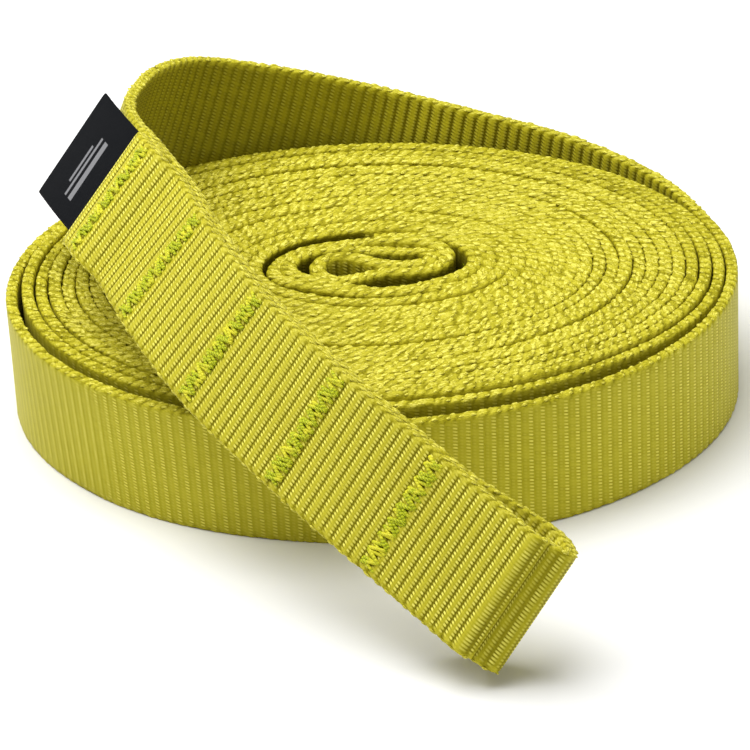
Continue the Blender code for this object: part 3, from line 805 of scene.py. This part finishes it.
reach, height = round_eye(INNER_EYE_LENGTH, INNER_EYE_RADIUS)
eye_points = neck + neck_outward * reach[:, None] + neck_normal * height[:, None]
places = np.linspace(INNER_EYE_JOIN, inner_end, INNER_STEPS)
outside = inner.raised(places[::-1], np.full(INNER_STEPS, HALF_STEP))[0]
inside = inner.raised(places, np.full(INNER_STEPS, -HALF_STEP))[0]
inner_line = resample(np.vstack([outside, eye_points, inside]), FINE)
inner_line[:, 2] += lift(DOUBLED_TURNS)
waving = arc_lengths(inner_line) / CORE_WAVE_LENGTH
inner_line[:, 2] += CORE_WAVE * (np.sin(waving) + 0.5 * np.sin(2.3 * waving))
inner_line[:, 2] = np.maximum(inner_line[:, 2], WEB_WIDTH / 2 + EDGE_CLEAR)
inner_length = arc_lengths(inner_line)[-1]
inner_piece = webbing("inner_end_webbing", inner_line, np.tile((0.0, 0.0, 1.0), (len(inner_line), 1)),
                      -COIL_LENGTH - inner_length, INNER_RELIEF, COIL_BEAD, CRUSHED, WEBBING,
                      jitter=INNER_JITTER, humps=UPPER_EDGE, hump_scale=CORE_HUMPS)
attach(inner_piece, "coil")
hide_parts("inner_sewn_end")

# the free webbing: back run and lower layer in one
places = np.linspace(0.0, rows[-1], int(rows[-1] / FINE))
points, edges, _ = free.at(places)
relief_at, heights = np.array(FREE_RELIEF).T * MM
face = np.interp(places, [*relief_at, bend_at - FREE_CALM_END, hem_at],
                 [*heights, heights[-1], BAND_RELIEF])
bead = np.interp(places, [0.0, BACK_BEAD_AT, bend_at], [COIL_BEAD, BACK_BEAD, BAND_BEAD])
free_piece = webbing("free_webbing", points, edges, 0.0, face, bead, FULL, WEBBING, jitter=BAND_JITTER,
                     humps=BOTH_EDGES)
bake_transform(free_piece)
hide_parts("back_run_webbing", "sewn_end_lower_layer")

# the eye: on from the lower layer at the last row, round, and back to that row as the upper layer
neck = free.raised(np.array([neck_at]), np.array([HALF_STEP]))[0][0]
_, neck_edge, neck_normal = [row[0] for row in free.at(np.array([neck_at]))]
eye_outward = np.cross(neck_edge, neck_normal)
reach, height = folded_eye(EYE_LENGTH - NECK)
eye_points = neck + eye_outward * reach[:, None] + neck_normal * height[:, None]
places = np.linspace(rows[-1], neck_at - FINE, JOIN_STEPS)
below, below_edges = free.raised(places, np.zeros(JOIN_STEPS))
above, above_edges = free.raised(places[::-1], np.full(JOIN_STEPS, LAYER_STEP))
line = np.vstack([below, eye_points[::-1], above])
line_edges = np.vstack([below_edges, np.tile(neck_edge, (len(eye_points), 1)), above_edges])
both = resample(np.hstack([line, line_edges]), FINE)
eye_length = arc_lengths(both[:, :3])[-1]
past_crest = (both[:, :3] - neck) @ eye_outward - (EYE_LENGTH - NECK)
face = BAND_RELIEF - END_CALM * smoothstep(past_crest / MM)
eye_piece = webbing("eye_loop", both[:, :3], both[:, 3:], rows[-1], face, BAND_BEAD, FULL, WEBBING,
                    jitter=BAND_JITTER, humps=BOTH_EDGES)
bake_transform(eye_piece)
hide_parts("eye_webbing")

# the upper layer, from the last row back to the hem and round under itself
turn_radius = HEM_STEP / 2
turn_centre = hem_at + HEM_NOSE + WEB_THICK / 2
flat_part = np.linspace(rows[-1], hem_at + HEM_TAIL + HEM_FALL, FLAT_STEPS, endpoint=False)
fall = np.linspace(0.0, 1.0, FALL_STEPS, endpoint=False)
over = np.linspace(hem_at + HEM_TAIL, turn_centre, HEM_STEPS, endpoint=False)
round_end = np.linspace(0.0, math.pi, HEM_STEPS, endpoint=False)
under = np.linspace(turn_centre, hem_at + HEM_TAIL, HEM_STEPS)
place = np.concatenate([flat_part, hem_at + HEM_TAIL + HEM_FALL * (1.0 - fall), over,
                        turn_centre - HEM_NOSE * np.sin(round_end), under])
height = np.concatenate([np.full(FLAT_STEPS, LAYER_STEP), LAYER_STEP + HEM_STEP * smoothstep(fall),
                         np.full(HEM_STEPS, hem_rise), LAYER_STEP + turn_radius * (1.0 + np.cos(round_end)),
                         np.full(HEM_STEPS, LAYER_STEP)])
points, edges = free.raised(place, height)
both = resample(np.hstack([points, edges]), FINE)
at_row = rows[-1] - rows[0]
face = np.interp(arc_lengths(both[:, :3]), [at_row, at_row + HEM_EASE], [BAND_RELIEF, HEM_RELIEF])
upper_piece = webbing("upper_layer_webbing", both[:, :3], both[:, 3:], rows[-1] + eye_length, face,
                      BAND_BEAD, FULL, WEBBING, jitter=BAND_JITTER, tacks=[rows[-1] - row for row in rows],
                      humps=BOTH_EDGES)
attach(upper_piece, "free_end")
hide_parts("sewn_end_upper_layer")

# ---- the label ------------------------------------------------------------------------------------------
root_at = free.raised(np.array([hem_at - LABEL_GAP]), np.array([LABEL_HEIGHT]))
label_root, label_edge = [row[0] for row in root_at]
_, _, label_normal = [row[0] for row in free.at(np.array([hem_at]))]
label_back = -np.cross(label_edge, label_normal)
reaches = np.linspace(0.0, LABEL_REACH, 30)
lifts = LABEL_LIFT + LABEL_CURL * (1.0 - reaches / LABEL_REACH)
label_line = label_root + label_back * (reaches * np.cos(lifts))[:, None]
label_line += label_normal * (reaches * np.sin(lifts))[:, None]
label_piece = webbing("label_ribbon", label_line, np.tile(label_edge, (len(label_line), 1)), 0.0, 0.0, 0.0,
                      section(9, 5, LABEL_LENGTH, LABEL_THICK), RIBBON)
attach(label_piece, "label")
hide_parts("label")


# ---- the stitching --------------------------------------------------------------------------------------
def tube(line, radius, sides=6):
    """Vertices and quads of a thin tube along a line, and its own coordinates for the twist."""
    tangents = unit(np.gradient(line, axis=0))
    guide = np.where(np.abs(tangents[:, 2:3]) < 0.9, np.array([[0.0, 0.0, 1.0]]), np.array([[1.0, 0.0, 0.0]]))
    first = unit(np.cross(tangents, guide))
    second = np.cross(tangents, first)
    angle = 2.0 * np.pi * np.arange(sides) / sides
    ring = first[:, None, :] * np.cos(angle)[:, None] + second[:, None, :] * np.sin(angle)[:, None]
    verts = (line[:, None, :] + ring * radius).reshape(-1, 3)
    along = arc_lengths(line) / MM
    coords = np.stack([np.broadcast_to(angle / (2.0 * np.pi), (len(line), sides)),
                       np.broadcast_to(along[:, None], (len(line), sides)),
                       np.zeros((len(line), sides))], axis=-1).reshape(-1, 3)
    faces = []
    for step in range(len(line) - 1):
        for side in range(sides):
            there = (side + 1) % sides
            faces.append((step * sides + side, step * sides + there,
                          (step + 1) * sides + there, (step + 1) * sides + side))
    faces.append(tuple(reversed(range(sides))))
    faces.append(tuple(range((len(line) - 1) * sides, len(line) * sides)))
    return verts, faces, coords


def stitches(name, strip, centre, height, outward, body, node):
    """A bar tack: zigzag stitches across the webbing, each one standing a little off the face."""
    verts, faces, coords = [], [], []
    total = 0
    share = np.linspace(0.0, 1.0, STITCH_POINTS)
    arch = STITCH_ARCH * np.sin(np.pi * share) ** ARCH_POWER
    for run, count in enumerate(STITCH_RUNS):
        sides = np.linspace(-1.0, 1.0, count + 1) * (ROW_LENGTH / 2 - STITCH_INSET)
        for index in range(count):
            swing = 1.0 if (index + run) % 2 else -1.0
            from_s = centre - swing * STITCH_REACH * rng.uniform(*STITCH_UNEVEN)
            to_s = centre + swing * STITCH_REACH * rng.uniform(*STITCH_UNEVEN)
            from_w = sides[index] + rng.uniform(-STITCH_SCATTER, STITCH_SCATTER) * MM
            to_w = sides[index + 1] + rng.uniform(-STITCH_SCATTER, STITCH_SCATTER) * MM
            off_face = (arch - STITCH_SUNK + SECOND_RUN * run) * MM
            base, edges = strip.raised(from_s + (to_s - from_s) * share, height + outward * off_face)
            line = base + edges * (from_w + (to_w - from_w) * share)[:, None]
            new_verts, new_faces, new_coords = tube(line, STITCH_RADIUS)
            verts.append(new_verts)
            coords.append(new_coords)
            faces += [tuple(total + corner for corner in face) for face in new_faces]
            total += len(new_verts)
    made = made_object(name, np.vstack(verts), faces, {"weave": np.vstack(coords)}, THREAD)
    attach(made, body)
    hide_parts(node)


face_height = WEB_THICK / 2
for row, centre in enumerate(rows):
    name = f"bar_tack_{row + 1}"
    top = (hem_rise if row == 0 else LAYER_STEP) + face_height
    stitches(f"{name}_stitches", free, centre, top, 1.0, "free_end", f"{name}_needle_thread")
    stitches(f"{name}_under_stitches", free, centre, -face_height, -1.0, "free_end", f"{name}_bobbin_thread")
for row in range(ROW_COUNT):
    name = f"inner_bar_tack_{row + 1}"
    centre, top = INNER_ROW_START + row * ROW_PITCH, HALF_STEP + face_height
    stitches(f"{name}_stitches", inner, centre, top, 1.0, "coil", f"{name}_needle_thread")
    stitches(f"{name}_under_stitches", inner, centre, -top, -1.0, "coil", f"{name}_bobbin_thread")

# ---- floor, light, camera -------------------------------------------------------------------------------
floor_mesh = bpy.data.meshes.new("floor")
floor_mesh.from_pydata([(-3, -3, 0), (3, -3, 0), (3, 3, 0), (-3, 3, 0)], [], [(0, 1, 2, 3)])
floor_mesh.materials.append(Graph("white_floor", (0.90, 0.90, 0.895), 0.9).material)
floor = bpy.data.objects.new("floor", floor_mesh)
bpy.context.scene.collection.objects.link(floor)

world = bpy.data.worlds.new("studio")
bpy.context.scene.world = world
world.use_nodes = True
world.node_tree.nodes["Background"].inputs["Color"].default_value = (1.0, 1.0, 1.0, 1.0)
world.node_tree.nodes["Background"].inputs["Strength"].default_value = 0.24


def softbox(name, place, aim, size, power):
    light = bpy.data.lights.new(name, "AREA")
    light.shape = "SQUARE"
    light.size = size
    light.energy = power
    lamp = bpy.data.objects.new(name, light)
    lamp.location = place
    lamp.rotation_euler = (Vector(aim) - Vector(place)).to_track_quat("-Z", "Y").to_euler()
    bpy.context.scene.collection.objects.link(lamp)


softbox("overhead_softbox", (-0.25, 0.08, 0.82), (0.0, 0.0, 0.0), 0.95, 12.9)
softbox("right_fill", (1.0, -0.45, 0.14), (0.0, 0.0, 0.02), 0.5, 3.2)

CAMERA_DISTANCE = 1.1
ELEVATION = math.radians(26.0)
ROLL = math.radians(-2.0)
TARGET_SHIFT = 0.4 * MM
camera_data = bpy.data.cameras.new("camera")
camera_data.sensor_width = 36.0
camera_data.lens = 275.0
camera = bpy.data.objects.new("camera", camera_data)
target = Vector((SHIFT[0] + TARGET_SHIFT, SHIFT[1], 0.0))
back = Vector((0.0, -math.cos(ELEVATION), math.sin(ELEVATION)))
turn = back.to_track_quat("Z", "Y").to_matrix().to_4x4() @ Matrix.Rotation(ROLL, 4, "Z")
camera.matrix_world = Matrix.Translation(target + back * CAMERA_DISTANCE) @ turn
bpy.context.scene.collection.objects.link(camera)
bpy.context.scene.camera = camera
bpy.context.scene.view_settings.view_transform = "Standard"
